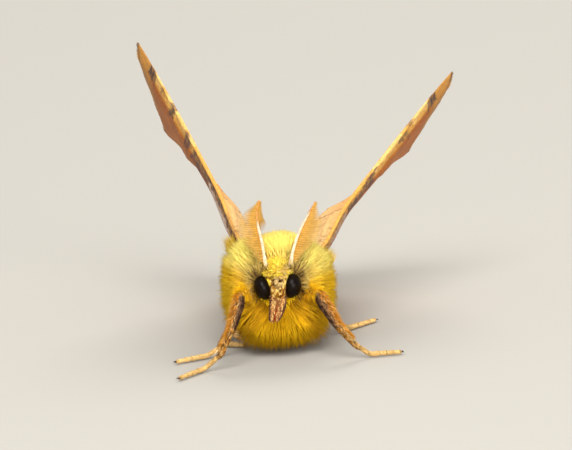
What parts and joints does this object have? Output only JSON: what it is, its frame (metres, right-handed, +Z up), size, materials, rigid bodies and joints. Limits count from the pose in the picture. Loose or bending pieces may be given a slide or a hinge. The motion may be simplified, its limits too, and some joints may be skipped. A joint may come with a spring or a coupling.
{
  "type": "canary-shouldered thorn moth model",
  "caption": "Life-size male thorn moth standing on six legs: round yellow furry thorax, feathery antennae and scalloped orange wings held up in a V.",
  "frame": {"origin": "on the floor, under the middle of the moth's bounding box", "axes": "+Z up, the head looks along -Y, +X is the moth's own left"},
  "size_m": [0.0196, 0.022, 0.0166],
  "materials": {
    "head": "short yellow and tan scales",
    "eye": "glossy black with a fine grain of facets",
    "palp": "tan and pinkish scales",
    "antenna": "orange-buff comb on a white-scaled shaft",
    "thorax": "long canary yellow fur",
    "abdomen": "short pale ochre fur",
    "forewing": "matt scales, ochre-orange with brown speckles and two cross-lines",
    "hindwing": "matt pale ochre scales with fine speckles",
    "leg": "orange-brown scales with purple-brown inner sides and pale feet"
  },
  "bodies": {
    "root": {"head": "head", "eye_right": "eye", "eye_left": "eye", "palp_right": "palp", "palp_left": "palp", "antenna_right": "antenna", "antenna_left": "antenna", "thorax": "thorax", "abdomen": "abdomen", "forewing_right": "forewing", "forewing_left": "forewing", "hindwing_right": "hindwing", "hindwing_left": "hindwing", "leg_fore_right": "leg", "leg_fore_left": "leg", "leg_mid_right": "leg", "leg_mid_left": "leg", "leg_hind_right": "leg", "leg_hind_left": "leg"}
  },
  "joints": []
}
